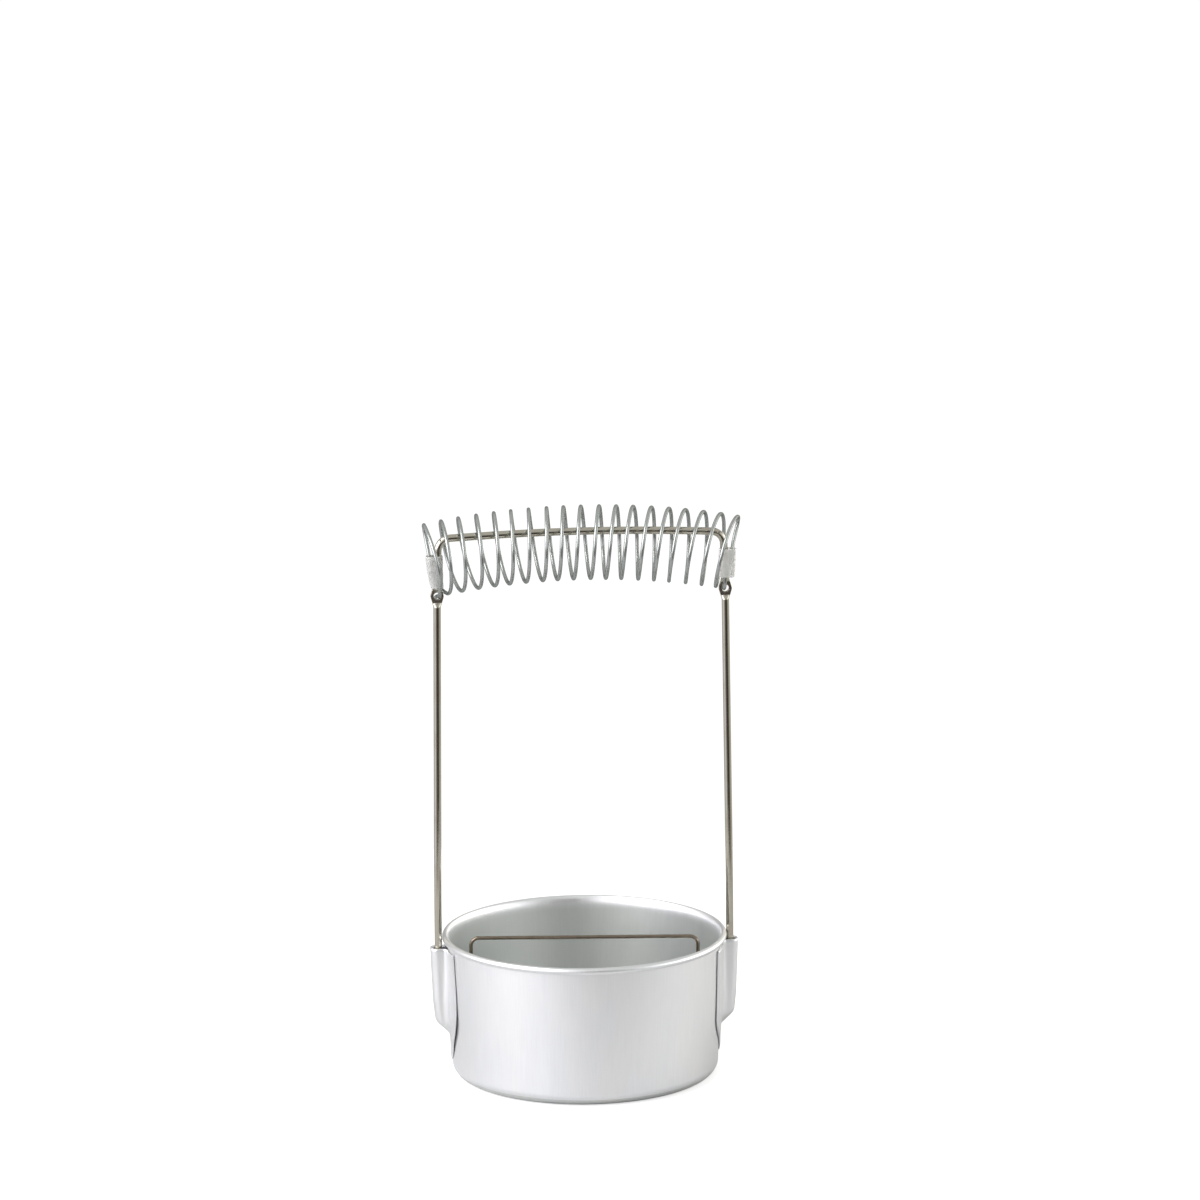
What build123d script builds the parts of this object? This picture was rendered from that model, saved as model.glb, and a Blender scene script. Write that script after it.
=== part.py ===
from build123d import *
import math
import os

# Brush washer: a drawn aluminium pot with a stamped socket on each side, a bent
# wire frame whose legs stand loosely in the sockets, a coil spring round the
# frame's top bar that grips brush handles between its turns, a plastic sleeve
# over each end of the coil, and a lift-out strainer with a wire handle.
# Origin: centre of the pot's flat base.  +Z up, the sockets lie on the X axis.

# ---------------------------------------------------------------- dimensions
pot_height = 57.6          # to the top of the rolled rim
rim_radius = 57.0          # outside of the rolled rim
rim_roll = 1.4             # outside radius of the roll's section
sheet = 0.9                # pot wall
wall_top_radius = rim_radius - 2 * rim_roll + sheet   # outside of the wall under the roll
wall_foot_radius = 53.25   # outside of the wall, carried down to the base plane
base_corner = 5.0          # outside radius of the bottom edge

socket_sheet = 0.8         # stamped socket plate
socket_top = 52.8          # top edge of plate and mouth of the channel
socket_tip = 6.5           # lowest point of the plate's tail
socket_half_angle = 20.5   # plate's widest half angle round the pot
# the channel is stamped off the plate's middle: at each height, how far the
# plate's -Y and +Y edges reach beyond its nominal half width
plate_reach = {53.8: (1.75, -5.4), 36.0: (0.6, -4.5), 24.0: (0.5, -4.9)}
plate_tail = {13.5: (11.4, 8.0)}  # and the same edges' distances low in the tail
channel_half_width = 3.5   # outside
channel_round = 2.9        # corner radius of the channel's section, outside
channel_mouth_x = 61.9     # outside of the channel at its mouth
channel_mid_x = 61.1       # outside of the channel where the leg ends
channel_mid_z = 31.0
channel_foot_x = 60.2      # outside of the channel's lower corner
channel_foot_z = 22.6
channel_slope_z = 17.6     # where the closing slope reaches the plate

wire_d = 3.0               # frame wire
leg_x = 58.65              # leg axis in the socket and beside the rim
leg_foot_z = 33.0          # lower end of the leg, in the channel
leg_straight_z = 70.0      # above this the leg leans slightly inward
eye_x = 57.3
eye_z = 196.5
eye_outer_r = 2.7
eye_hole_r = 1.4
eye_thick = 1.5
neck_length = 4.9          # eye centre to full round wire
shoulder_x = 56.6          # corner of leg and bar, before the bend is rounded
shoulder_z = 219.4
bar_peak_z = 222.0         # the bar's two halves, carried on, meet here
bend_r = 5.2
bar_bow_r = 900.0

coil_wire_d = 1.5
coil_r = 14.25             # mean radius of a turn
coil_turns = 19
coil_pitch = 6.64          # along the coil's axis
coil_mid_z = 216.5         # coil axis at the middle
coil_sag_r = 325.0         # the axis falls by x^2 / (2 * coil_sag_r)
coil_fan_r = 370.0         # a turn at x leans outward by x / coil_fan_r radians
coil_yaw = -4.1            # turns stand swung about the vertical, degrees at the middle
coil_yaw_rate = -0.195     # and this much more with each millimetre along x
end_draw_in = 0.6          # the first and last troughs stand this far in from the pitch

sleeve_wall = 0.4
sleeve_bottom_z = {-1: 199.6, 1: 201.4}  # left, right
sleeve_top_z = 212.6

strainer_top_z = 13.0      # top of the perforated plate
strainer_r = 49.0
strainer_sheet = 0.8
strainer_corner = 2.0
strainer_hole_d = 4.5
strainer_ring_step = 7.6
handle_wire_d = 1.5
handle_half = 45.5
handle_top_z = 55.0        # wire axis
handle_corner = 3.2
handle_turn = -5.1         # the strainer stands turned a little in the pot
handle_foot = 5.5          # bent-over length under the plate

os.makedirs("parts", exist_ok=True)


def wall_r(z):
    """Outside radius of the pot's tapered wall at height z."""
    z_top = pot_height - rim_roll
    return wall_foot_radius + (wall_top_radius - wall_foot_radius) * z / z_top


# ----------------------------------------------------------------------- pot
# Half section turned about Z: base, rounded corner, tapered wall, and a rim
# rolled outward into an open curl.
roll_r = rim_radius - rim_roll
roll_z = pot_height - rim_roll
with BuildPart() as pot:
    with BuildSketch(Plane.XZ):
        with BuildLine():
            Polyline(
                (0, 0),
                (wall_foot_radius, 0),
                (wall_top_radius, roll_z),
                (wall_top_radius - sheet, roll_z),
                (wall_foot_radius - sheet, sheet),
                (0, sheet),
                close=True,
            )
        make_face()
        fillet(vertices().filter_by_position(Axis.Y, -0.1, 0.1).sort_by(Axis.X)[-1], base_corner)
        fillet(
            vertices().filter_by_position(Axis.Y, sheet - 0.05, sheet + 0.05).sort_by(Axis.X)[-1],
            base_corner - sheet,
        )
        with Locations((roll_r, roll_z)):
            Circle(rim_roll)
            Circle(rim_roll - sheet, mode=Mode.SUBTRACT)
        # the curl stops short of the wall, leaving a narrow slot beneath
        with Locations((wall_top_radius + 0.25, roll_z)):
            Rectangle(0.5, 2 * rim_roll, align=(Align.CENTER, Align.MAX), mode=Mode.SUBTRACT)
    revolve(axis=Axis.Z)
pot.part.label = "pot"

# ------------------------------------------------------------------- sockets
# Shield-shaped plate curved to the wall, with a raised channel that is open at
# the top, closes by a slope at its foot and runs out into the plate's tail.
with BuildPart() as right_socket:
    # plate: a slice of conical shell, cut to the shield's outline
    with BuildSketch(Plane.XZ.rotated((0, 0, -30))):
        with BuildLine():
            Polyline(
                (wall_r(2) - 1, 2),
                (wall_r(2) + socket_sheet, 2),
                (wall_r(socket_top) + socket_sheet, socket_top),
                (wall_r(socket_top) - 1, socket_top),
                close=True,
            )
        make_face()
    revolve(axis=Axis.Z, revolution_arc=60)
    half_w = wall_r(28) * math.sin(math.radians(socket_half_angle))
    near_edge = [(-(half_w + near), z) for z, (near, far) in plate_reach.items()]
    near_edge += [(-near, z) for z, (near, far) in plate_tail.items()]
    far_edge = [(half_w + far, z) for z, (near, far) in plate_reach.items()]
    far_edge += [(far, z) for z, (near, far) in plate_tail.items()]
    with BuildSketch(Plane.YZ.offset(40)):
        with BuildLine():
            Spline(*far_edge, (2.6, socket_tip + 0.55), tangents=((0.03, -1), (-1, -0.55)))
            ThreePointArc((2.6, socket_tip + 0.55), (0, socket_tip), (-2.6, socket_tip + 0.55))
            Spline(*near_edge, (-2.6, socket_tip + 0.55), tangents=((0.05, -1), (1, -0.55)))
            Line(near_edge[0], far_edge[0])
        make_face()
    extrude(amount=30, mode=Mode.INTERSECT)
    # raised channel: half-round sections, narrowing down to the closing slope
    for z, x_out in (
        (channel_slope_z, wall_r(channel_slope_z) + socket_sheet),
        (channel_foot_z, channel_foot_x),
        (channel_mid_z, channel_mid_x),
        (socket_top, channel_mouth_x),
    ):
        with BuildSketch(Plane.XY.offset(z)):
            with Locations((x_out, 0)):
                RectangleRounded(16, 2 * channel_half_width, channel_round, align=(Align.MAX, Align.CENTER))
    loft(ruled=True)
    # cavity: the same sections, one sheet smaller, open at the top
    for z, x_out in (
        (channel_slope_z + 0.4, wall_r(channel_slope_z) + 0.1),
        (channel_foot_z + 0.3, channel_foot_x - socket_sheet),
        (channel_mid_z, channel_mid_x - socket_sheet),
        (socket_top, channel_mouth_x - socket_sheet),
    ):
        with BuildSketch(Plane.XY.offset(z)):
            with Locations((x_out, 0)):
                RectangleRounded(
                    14,
                    2 * (channel_half_width - socket_sheet),
                    channel_round - socket_sheet,
                    align=(Align.MAX, Align.CENTER),
                )
    loft(ruled=True, mode=Mode.SUBTRACT)
    # the pot's wall, on which the plate lies
    with BuildSketch(Plane.XZ):
        with BuildLine():
            Polyline((0, 0), (wall_r(0), 0), (wall_r(60), 60), (0, 60), close=True)
        make_face()
    revolve(axis=Axis.Z, mode=Mode.SUBTRACT)
right_socket.part.label = "right_socket"

with BuildPart() as left_socket:
    add(right_socket.part, rotation=(0, 0, 180))
left_socket.part.label = "left_socket"

# ---------------------------------------------------------------- wire frame
# One wire: straight legs, a flattened and punched eye in each leg, the bends
# and a slightly bowed bar.
with BuildPart() as wire_frame:
    with BuildLine(Plane.XZ):
        top = FilletPolyline(
            (-(eye_x - 0.1), eye_z + neck_length),
            (-shoulder_x, shoulder_z),
            (0, bar_peak_z),
            (shoulder_x, shoulder_z),
            (eye_x - 0.1, eye_z + neck_length),
            radius=(bend_r, bar_bow_r, bend_r),
        )
    with BuildSketch(Plane(origin=top @ 0, z_dir=top % 0, x_dir=(1, 0, 0))):
        Circle(wire_d / 2)
    sweep(path=top)
    for side in (-1, 1):
        with BuildLine(Plane.XZ):
            leg = FilletPolyline(
                (side * leg_x, leg_foot_z),
                (side * leg_x, leg_straight_z),
                (side * (eye_x + 0.05), eye_z - neck_length),
                radius=2000,
            )
        with BuildSketch(Plane(origin=leg @ 0, z_dir=leg % 0, x_dir=(1, 0, 0))):
            Circle(wire_d / 2)
        sweep(path=leg)
        # necks: round wire pressed down to the eye's thickness
        with BuildSketch(Plane(origin=leg @ 1, z_dir=leg % 1, x_dir=(1, 0, 0))):
            Circle(wire_d / 2)
        with BuildSketch(Plane.XY.offset(eye_z - 1.8)):
            with Locations((side * eye_x, 0)):
                Ellipse(1.75, eye_thick / 2)
        loft()
        with BuildSketch(Plane.XY.offset(eye_z + 1.8)):
            with Locations((side * eye_x, 0)):
                Ellipse(1.75, eye_thick / 2)
        neck_end = (top @ 0, top % 0) if side < 0 else (top @ 1, -(top % 1))
        with BuildSketch(Plane(origin=neck_end[0], z_dir=neck_end[1], x_dir=(1, 0, 0))):
            Circle(wire_d / 2)
        loft()
        with BuildSketch(Plane.XZ.offset(-eye_thick / 2)):
            with Locations((side * eye_x, eye_z)):
                Circle(eye_outer_r)
        extrude(amount=eye_thick)
    # punched holes
    with BuildSketch(Plane.XZ.offset(-5)):
        with Locations((-eye_x, eye_z), (eye_x, eye_z)):
            Circle(eye_hole_r)
    extrude(amount=10, mode=Mode.SUBTRACT)
    # slightly softened leg ends
    fillet(
        edges().filter_by(GeomType.CIRCLE).filter_by_position(Axis.Z, leg_foot_z - 0.1, leg_foot_z + 0.1),
        0.5,
    )
wire_frame.part.label = "wire_frame"


# --------------------------------------------------------------- coil spring
# Left-handed coil on a gently arched axis.  A whole number s is a trough, a
# half is a crest; from a trough the wire climbs on the -Y side.
def turn_point(s):
    x_axis = (s - coil_turns / 2) * coil_pitch
    # the two end troughs are drawn in, clear of the eyes
    x_axis += end_draw_in * math.exp(-(((s - 1) / 0.3) ** 2))
    x_axis -= end_draw_in * math.exp(-(((s - coil_turns + 1) / 0.3) ** 2))
    z_axis = coil_mid_z - x_axis**2 / (2 * coil_sag_r)
    lean = x_axis / coil_fan_r
    swing = math.tan(math.radians(coil_yaw + coil_yaw_rate * x_axis))
    h = -coil_r * math.cos(2 * math.pi * s)
    y = -coil_r * math.sin(2 * math.pi * s)
    return Vector(x_axis + h * math.sin(lean) - y * swing, y, z_axis + h * math.cos(lean))


def turn_tangent(s):
    return (turn_point(s + 1e-4) - turn_point(s - 1e-4)).normalized()


def bend(p0, d0, reach0, p1, d1, reach1):
    """Smooth bend that leaves p0 along d0 and reaches p1 along d1."""
    p0, d0, p1, d1 = Vector(p0), Vector(d0).normalized(), Vector(p1), Vector(d1).normalized()
    return Bezier(p0, p0 + d0 * reach0, p1 - d1 * reach1, p1)


stretches = []
with BuildLine() as coil_path:
    # a short tail behind the left eye, then through the eye's hole
    in_left_eye = Vector(-eye_x + 0.5, 0, eye_z - 0.15)
    stretches.append(
        bend((-eye_x - 0.6, 3.2, eye_z - 1.6), (0.25, -0.75, 0.75), 1.4, in_left_eye, (0, -1, 0.02), 1.3)
    )
    # up the front to the first crest, drawn in a little towards the eye
    start, tangent = in_left_eye, Vector(0, -1, 0.02)
    for s in (0.1, 0.2, 0.3, 0.4, 0.5):
        ease = (0.5 - s) / 0.5
        draw_in = 3.9 * ease * ease * (3 - 2 * ease) - 1.05 * math.exp(-(((s - 0.12) / 0.085) ** 2))
        end = turn_point(s) + Vector(draw_in, 0, 0)
        arc = TangentArc(start, end, tangent=tangent)
        stretches.append(arc)
        start, tangent = end, arc % 1
    # down through the left sleeve, behind the leg, to the first trough
    stretches.append(bend(start, tangent, 7.5, (-60.2, 1.0, 212.6), (0.13, -0.2, -0.97), 3.4))
    stretches.append(bend((-60.2, 1.0, 212.6), (0.13, -0.2, -0.97), 3.6, (-56.75, 2.75, 201.8), (0.28, 0.08, -0.95), 6.4))
    start, tangent = turn_point(1.0), turn_tangent(1.0)
    stretches.append(bend((-56.75, 2.75, 201.8), (0.28, 0.08, -0.95), 4.0, start, tangent, 1.9))
    # the regular turns, four arcs to a turn, up to the last crest
    for i in range(1, 4 * (coil_turns - 1) - 1):
        end = turn_point(1.0 + i / 4)
        arc = TangentArc(start, end, tangent=tangent)
        stretches.append(arc)
        start, tangent = end, arc % 1
    # down through the right sleeve, in front of the leg, and through the right eye
    in_right_eye = Vector(eye_x - 0.55, 0.2, eye_z - 0.15)
    stretches.append(bend(start, tangent, 9.0, (60.35, 0.6, 212.6), (-0.12, -0.4, -0.92), 4.4))
    stretches.append(bend((60.35, 0.6, 212.6), (-0.12, -0.4, -0.92), 4.0, (57.15, -2.7, 201.8), (-0.1, 0, -1), 4.8))
    stretches.append(bend((57.15, -2.7, 201.8), (-0.1, 0, -1), 1.2, in_right_eye, (0, 1, 0), 3.4))
    stretches.append(bend(in_right_eye, (0, 1, 0), 2.2, (eye_x - 0.35, 3.5, eye_z + 1.8), (0.05, 0.05, 1), 1.2))

with BuildPart() as coil_spring:
    for stretch in stretches:
        with BuildSketch(Plane(origin=stretch @ 0, z_dir=stretch % 0)):
            Circle(coil_wire_d / 2)
        sweep(path=stretch)
coil_spring.part.label = "coil_spring"

# ------------------------------------------------------------------- sleeves
# Soft tube pushed over leg and coil wire: wide and flat at its top, where the
# wire lies outboard of the leg, deeper at its foot, where the wire crosses it.


def leg_axis_x(z):
    """Leg axis above the eye (leans slightly inward)."""
    t = (z - eye_z) / (shoulder_z - eye_z)
    return eye_x + (shoulder_x - eye_x) * t


def sleeve_sections(side):
    """Height, centre x, centre y, width and depth of the outside, foot to top."""
    z_mid = 206.6
    foot_out, foot_width = {-1: (0.05, 5.1), 1: (0.6, 6.2)}[side]
    return (
        (sleeve_bottom_z[side], side * (leg_axis_x(sleeve_bottom_z[side]) + foot_out), -side * 1.14, foot_width, 6.3),
        (z_mid, side * (leg_axis_x(z_mid) + 0.95), -side * 0.74, 6.3 if side < 0 else 6.6, 5.65),
        (sleeve_top_z, side * (leg_axis_x(sleeve_top_z) + 1.45), -side * 0.30, 6.95, 4.75),
    )


sleeves = {}
for name, side in (("left_sleeve", -1), ("right_sleeve", 1)):
    with BuildPart() as sleeve:
        for z, cx, cy, w, d in sleeve_sections(side):
            with BuildSketch(Plane.XY.offset(z)):
                with Locations((cx, cy)):
                    RectangleRounded(w, d, 1.95)
        loft()
        for z, cx, cy, w, d in sleeve_sections(side):
            with BuildSketch(Plane.XY.offset(z)):
                with Locations((cx, cy)):
                    RectangleRounded(w - 2 * sleeve_wall, d - 2 * sleeve_wall, 1.95 - sleeve_wall)
        loft(mode=Mode.SUBTRACT)
    sleeve.part.label = name
    sleeves[name] = sleeve

# ------------------------------------------------------------ strainer plate
# Perforated disc with a turned-down skirt that stands on the pot's base.
with BuildPart() as strainer_plate:
    with BuildSketch(Plane.XZ):
        with BuildLine():
            Polyline(
                (0, strainer_top_z),
                (strainer_r, strainer_top_z),
                (strainer_r - 0.6, sheet + 0.35),
                (strainer_r - 0.6 - strainer_sheet, sheet + 0.35),
                (strainer_r - strainer_sheet, strainer_top_z - strainer_sheet),
                (0, strainer_top_z - strainer_sheet),
                close=True,
            )
        make_face()
        fillet(
            vertices().filter_by_position(Axis.Y, strainer_top_z - 0.05, strainer_top_z + 0.05).sort_by(Axis.X)[-1],
            strainer_corner,
        )
        fillet(
            vertices()
            .filter_by_position(
                Axis.Y, strainer_top_z - strainer_sheet - 0.05, strainer_top_z - strainer_sheet + 0.05
            )
            .sort_by(Axis.X)[-1],
            strainer_corner - strainer_sheet,
        )
    revolve(axis=Axis.Z)
    with BuildSketch(Plane.XY.offset(strainer_top_z)):
        Circle(strainer_hole_d / 2)
        for ring in range(1, 6):
            with PolarLocations(ring * strainer_ring_step, 6 * ring, start_angle=handle_turn + 180 / (6 * ring)):
                Circle(strainer_hole_d / 2)
        # holes for the handle's legs
        with PolarLocations(handle_half, 2, start_angle=handle_turn):
            Circle(handle_wire_d / 2 + 0.2)
    extrude(amount=-3, mode=Mode.SUBTRACT)
strainer_plate.part.label = "strainer_plate"

# ----------------------------------------------------------- strainer handle
handle_plane = Plane.XZ.rotated((0, 0, handle_turn))
foot_z = strainer_top_z - strainer_sheet - handle_wire_d / 2 - 0.3
with BuildPart() as strainer_handle:
    with BuildLine(handle_plane):
        bow = FilletPolyline(
            (-handle_half + handle_foot, foot_z),
            (-handle_half, foot_z),
            (-handle_half, handle_top_z),
            (handle_half, handle_top_z),
            (handle_half, foot_z),
            (handle_half - handle_foot, foot_z),
            radius=(1.0, handle_corner, handle_corner, 1.0),
        )
    with BuildSketch(Plane(origin=bow @ 0, z_dir=bow % 0)):
        Circle(handle_wire_d / 2)
    sweep(path=bow)
strainer_handle.part.label = "strainer_handle"

# --------------------------------------------------------------------- write
export_step(pot.part, "parts/pot.step")
export_step(right_socket.part, "parts/right_socket.step")
export_step(left_socket.part, "parts/left_socket.step")
export_step(wire_frame.part, "parts/wire_frame.step")
export_step(coil_spring.part, "parts/coil_spring.step")
export_step(sleeves["left_sleeve"].part, "parts/left_sleeve.step")
export_step(sleeves["right_sleeve"].part, "parts/right_sleeve.step")
export_step(strainer_plate.part, "parts/strainer_plate.step")
export_step(strainer_handle.part, "parts/strainer_handle.step")
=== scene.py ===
import math

import bpy
import bmesh
import numpy as np
from mathutils import Matrix, Vector


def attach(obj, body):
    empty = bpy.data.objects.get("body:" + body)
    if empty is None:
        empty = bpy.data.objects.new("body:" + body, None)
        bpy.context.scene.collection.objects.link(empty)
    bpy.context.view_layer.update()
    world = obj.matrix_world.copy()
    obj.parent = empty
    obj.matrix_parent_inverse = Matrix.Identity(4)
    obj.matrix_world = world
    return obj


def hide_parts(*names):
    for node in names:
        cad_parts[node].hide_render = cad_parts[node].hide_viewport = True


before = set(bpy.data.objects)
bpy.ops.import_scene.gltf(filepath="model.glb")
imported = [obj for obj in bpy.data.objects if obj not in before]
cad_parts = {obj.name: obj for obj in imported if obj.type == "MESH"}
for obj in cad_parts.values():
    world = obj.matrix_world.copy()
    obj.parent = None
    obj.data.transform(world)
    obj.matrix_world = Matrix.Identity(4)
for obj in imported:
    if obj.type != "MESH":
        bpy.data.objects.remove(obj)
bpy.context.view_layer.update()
scene = bpy.context.scene
MM = 0.001

# ------------------------------------------------------------------ dimensions
# millimetres, the same figures as the part's source
POT_H, RIM_R, ROLL, SHEET = 57.6, 57.0, 1.4, 0.9
WALL_TOP, WALL_FOOT, CORNER = 55.1, 53.25, 5.0
ROLL_Z, ROLL_R = POT_H - ROLL, RIM_R - ROLL
SOCKET_TOP, SOCKET_TIP = 52.8, 6.5
EYE_X, EYE_Z = 57.3, 196.5
LEG_X = 58.65
COIL_R, TURNS, PITCH, COIL_Z = 14.25, 19, 6.64, 216.5
HANDLE_TURN = math.radians(-5.1)


def wall_r(z):
    return WALL_FOOT + (WALL_TOP - WALL_FOOT) * z / ROLL_Z


def smooth(t):
    t = min(max(t, 0.0), 1.0)
    return t * t * (3 - 2 * t)


# ----------------------------------------------------------------- mesh helpers
def make(name, verts, faces, material, body, replaces=(), shade=True):
    """A mesh object from millimetre points, on its body, standing for its CAD nodes."""
    mesh = bpy.data.meshes.new(name)
    mesh.from_pydata([tuple(float(c) * MM for c in v) for v in verts], [], [tuple(f) for f in faces])
    joined = bmesh.new()  # points that coincide become one
    joined.from_mesh(mesh)
    bmesh.ops.remove_doubles(joined, verts=joined.verts, dist=0.0004 * MM)
    bmesh.ops.recalc_face_normals(joined, faces=joined.faces)
    joined.to_mesh(mesh)
    joined.free()
    mesh.validate()
    mesh.polygons.foreach_set("use_smooth", [shade] * len(mesh.polygons))
    mesh.update()
    obj = bpy.data.objects.new(name, mesh)
    scene.collection.objects.link(obj)
    obj.data.materials.append(material)
    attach(obj, body)
    if replaces:
        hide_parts(*replaces)
    return obj


def add_modifier_bevel(obj, width, segments=2, angle=35):
    bevel = obj.modifiers.new("edge", "BEVEL")
    bevel.width = width * MM
    bevel.segments = segments
    bevel.limit_method = "ANGLE"
    bevel.angle_limit = math.radians(angle)
    return bevel


def skin(rings, wrap=True, cap_start=False, cap_end=False, verts=None, faces=None):
    """Quads between successive rings of equally many points."""
    verts = [] if verts is None else verts
    faces = [] if faces is None else faces
    base, n = len(verts), len(rings[0])
    for ring in rings:
        verts.extend(tuple(p) for p in ring)
    last = n if wrap else n - 1
    for i in range(len(rings) - 1):
        for j in range(last):
            a, b = base + i * n + j, base + i * n + (j + 1) % n
            faces.append((a, b, b + n, a + n))
    if cap_start:
        faces.append(tuple(base + j for j in reversed(range(n))))
    if cap_end:
        faces.append(tuple(base + (len(rings) - 1) * n + j for j in range(n)))
    return verts, faces


def lathe(profile, segments=256):
    """A profile of (radius, height) points turned about Z; a radius of 0 closes it."""
    verts, faces = [], []
    rows = []
    for r, z in profile:
        if r < 1e-6:
            rows.append([len(verts)])
            verts.append((0.0, 0.0, z))
        else:
            rows.append(list(range(len(verts), len(verts) + segments)))
            for k in range(segments):
                a = 2 * math.pi * k / segments
                verts.append((r * math.cos(a), r * math.sin(a), z))
    for one, two in zip(rows, rows[1:]):
        for k in range(segments):
            m = (k + 1) % segments
            if len(one) == 1:
                faces.append((one[0], two[m], two[k]))
            elif len(two) == 1:
                faces.append((one[k], one[m], two[0]))
            else:
                faces.append((one[k], one[m], two[m], two[k]))
    return verts, [tuple(reversed(f)) for f in faces]


def arc_points(cx, cz, r, a0, a1, n):
    """n + 1 points of an arc, angles in degrees."""
    return [
        (cx + r * math.cos(math.radians(a0 + (a1 - a0) * i / n)), cz + r * math.sin(math.radians(a0 + (a1 - a0) * i / n)))
        for i in range(n + 1)
    ]


def filleted(points, radii, step=0.6, turn=6.0):
    """Dense points along a 3-D polyline whose inner corners are rounded."""
    points = [Vector(p) for p in points]
    out = [points[0].copy()]
    for p, a, b, r in zip(points[1:-1], points, points[2:], radii):
        u, v = (a - p).normalized(), (b - p).normalized()
        half = u.angle(v) / 2
        reach = r / math.tan(half)
        centre = p + (u + v).normalized() * (r / math.sin(half))
        start, end = p + u * reach, p + v * reach
        e0, e1 = start - centre, end - centre
        total = e0.angle(e1)
        n = max(4, int(math.degrees(total) / turn), int(total * r / 8))
        for i in range(n + 1):
            t = i / n
            out.append(centre + (e0 * math.sin((1 - t) * total) + e1 * math.sin(t * total)) / math.sin(total))
    out.append(points[-1].copy())
    return resample(out, step)


def resample(points, step):
    """Points spaced at most step apart, keeping the given ones."""
    out = [Vector(points[0])]
    for a, b in zip(points, points[1:]):
        a, b = Vector(a), Vector(b)
        n = max(1, math.ceil((b - a).length / step - 1e-6))
        for i in range(1, n + 1):
            out.append(a.lerp(b, i / n))
    return out


def bezier(p0, d0, reach0, p1, d1, reach1, n=18):
    p0, d0, p1, d1 = Vector(p0), Vector(d0).normalized(), Vector(p1), Vector(d1).normalized()
    c0, c1 = p0 + d0 * reach0, p1 - d1 * reach1
    return [
        p0 * (1 - t) ** 3 + c0 * 3 * (1 - t) ** 2 * t + c1 * 3 * (1 - t) * t * t + p1 * t**3
        for t in (i / n for i in range(n + 1))
    ]


def tube(points, radius, sides=16, ends=0.3, up=None):
    """Round wire along points, with a slightly rounded cut at each end.
    radius may be a function of the point that gives half sizes (across, along up)."""
    pts = [Vector(p) for p in points]
    clean = [pts[0]]
    for p in pts[1:]:
        if (p - clean[-1]).length > 1e-4:
            clean.append(p)
    pts = clean
    tangents = []
    for i, p in enumerate(pts):
        a, b = pts[max(i - 1, 0)], pts[min(i + 1, len(pts) - 1)]
        tangents.append((b - a).normalized())
    rings = []
    normal = None
    for i, (p, t) in enumerate(zip(pts, tangents)):
        if up is not None:
            second = Vector(up)
            normal = second.cross(t).normalized()
        elif normal is None:
            seed = Vector((0, 0, 1)) if abs(t.z) < 0.9 else Vector((1, 0, 0))
            normal = (seed - t * seed.dot(t)).normalized()
            second = t.cross(normal)
        else:
            turn = tangents[i - 1].rotation_difference(t)
            normal = turn @ normal
            normal = (normal - t * normal.dot(t)).normalized()
            second = t.cross(normal)
        a, b = radius(p) if callable(radius) else (radius, radius)
        rings.append((p, t, normal.copy(), second.copy(), a, b))

    def ring(p, n, s, a, b):
        return [
            p + n * (a * math.cos(2 * math.pi * k / sides)) + s * (b * math.sin(2 * math.pi * k / sides))
            for k in range(sides)
        ]

    out = []
    p, t, n, s, a, b = rings[0]
    for back, shrink in ((0.0, 0.0), (0.0, 0.72), (0.3, 0.93)):
        if shrink:
            out.append(ring(p + t * (back * ends), n, s, max(a - ends * (1 - back), 0.01) if back < 0.2 else a - ends * 0.25, max(b - ends * (1 - back), 0.01) if back < 0.2 else b - ends * 0.25))
    body = rings[1:-1]
    for q, tt, nn, ss, aa, bb in body:
        if (q - p).length > ends and (q - rings[-1][0]).length > ends:
            out.append(ring(q, nn, ss, aa, bb))
    p, t, n, s, a, b = rings[-1]
    out.append(ring(p - t * (0.3 * ends), n, s, a - ends * 0.25, b - ends * 0.25))
    out.append(ring(p, n, s, max(a - ends, 0.01), max(b - ends, 0.01)))
    return skin(out, cap_start=True, cap_end=True)


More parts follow.
